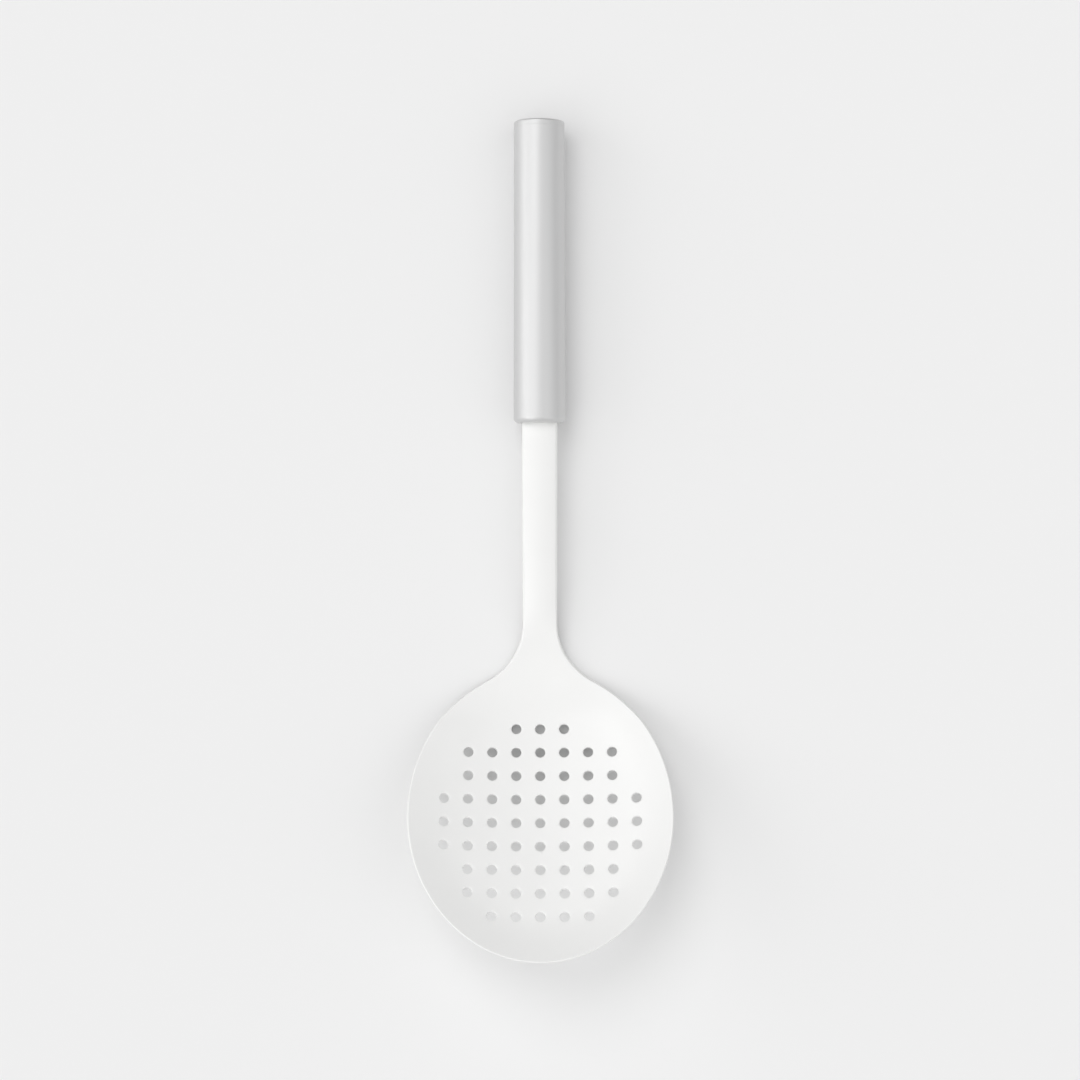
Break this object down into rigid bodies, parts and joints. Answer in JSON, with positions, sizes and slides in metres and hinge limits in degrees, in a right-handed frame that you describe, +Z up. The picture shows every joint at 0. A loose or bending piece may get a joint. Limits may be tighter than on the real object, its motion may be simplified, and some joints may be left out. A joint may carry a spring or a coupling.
{
  "type": "skimmer",
  "caption": "Kitchen skimmer: a shallow white oval dish with a grid of drain holes on a dipped neck and slim stem, set in a round satin steel handle.",
  "frame": {"origin": "on the table, under the middle of the skimmer's box, with the skimmer lying bowl up on its dish and its handle", "axes": "+Y along the handle towards its capped end, -Y towards the tip of the dish, +X across the dish, +Z up out of the dish"},
  "size_m": [0.1098, 0.3442, 0.0455],
  "materials": {
    "white_nylon": "satin moulded nylon, white",
    "core_nylon": "plain moulded nylon, off-white",
    "pin_steel": "drawn steel wire",
    "satin_steel": "fine satin stainless steel"
  },
  "bodies": {
    "root": {"skimmer_head": "white_nylon", "tang_core": "core_nylon", "core_pin": "pin_steel", "handle_tube": "satin_steel", "end_cap": "satin_steel"}
  },
  "joints": []
}
